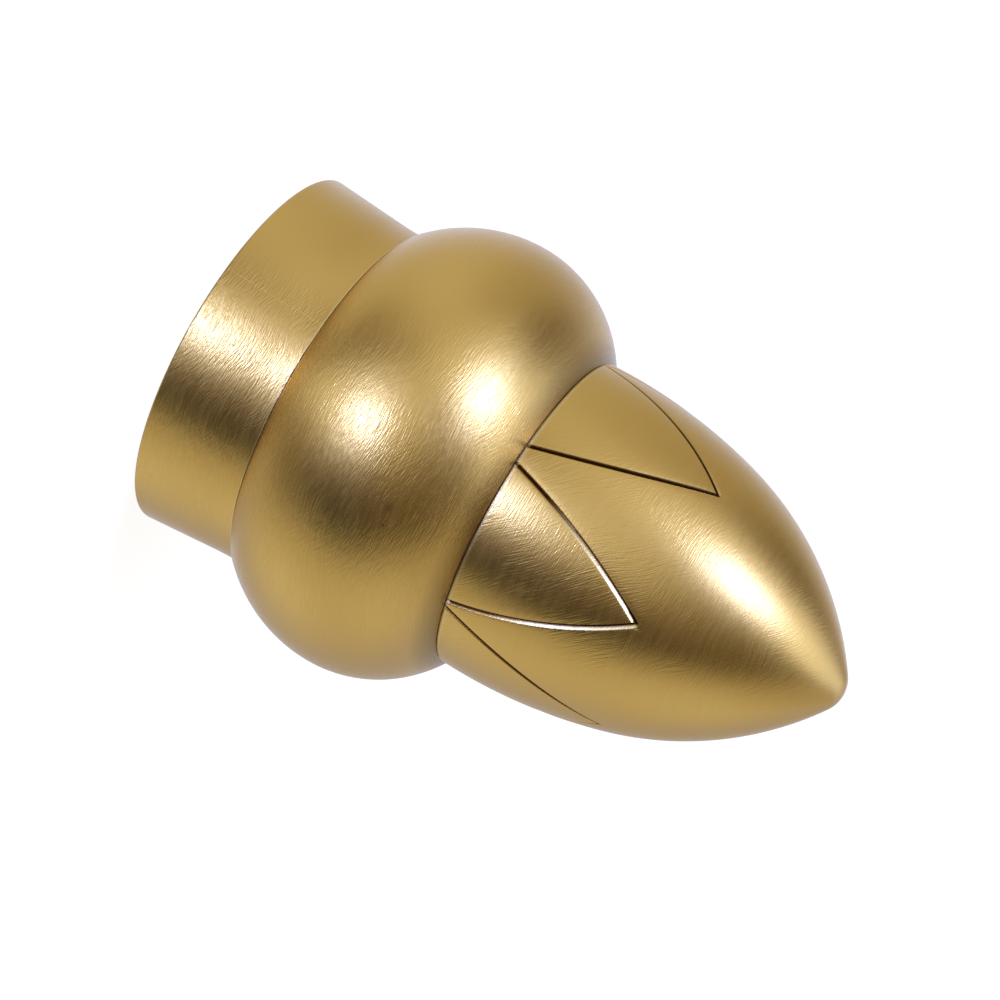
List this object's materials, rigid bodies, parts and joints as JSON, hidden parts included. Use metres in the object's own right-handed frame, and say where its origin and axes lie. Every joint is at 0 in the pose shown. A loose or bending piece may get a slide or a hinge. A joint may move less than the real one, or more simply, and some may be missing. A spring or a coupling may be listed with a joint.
{
  "type": "curtain pole finial",
  "caption": "Solid-looking brass end piece for a curtain pole: a socketed collar, a round bulb and a pointed bud engraved with a ring of leaf outlines.",
  "frame": {"origin": "centre of the collar's open rim, on the axis, where the finial stands", "axes": "+Z along the axis from the open rim to the point of the bud; -Y faces the middle of the front leaf"},
  "size_m": [0.0682, 0.0682, 0.1007],
  "materials": {
    "brass": "satin, finely brushed round the axis"
  },
  "bodies": {
    "root": {"finial": "brass"}
  },
  "joints": []
}
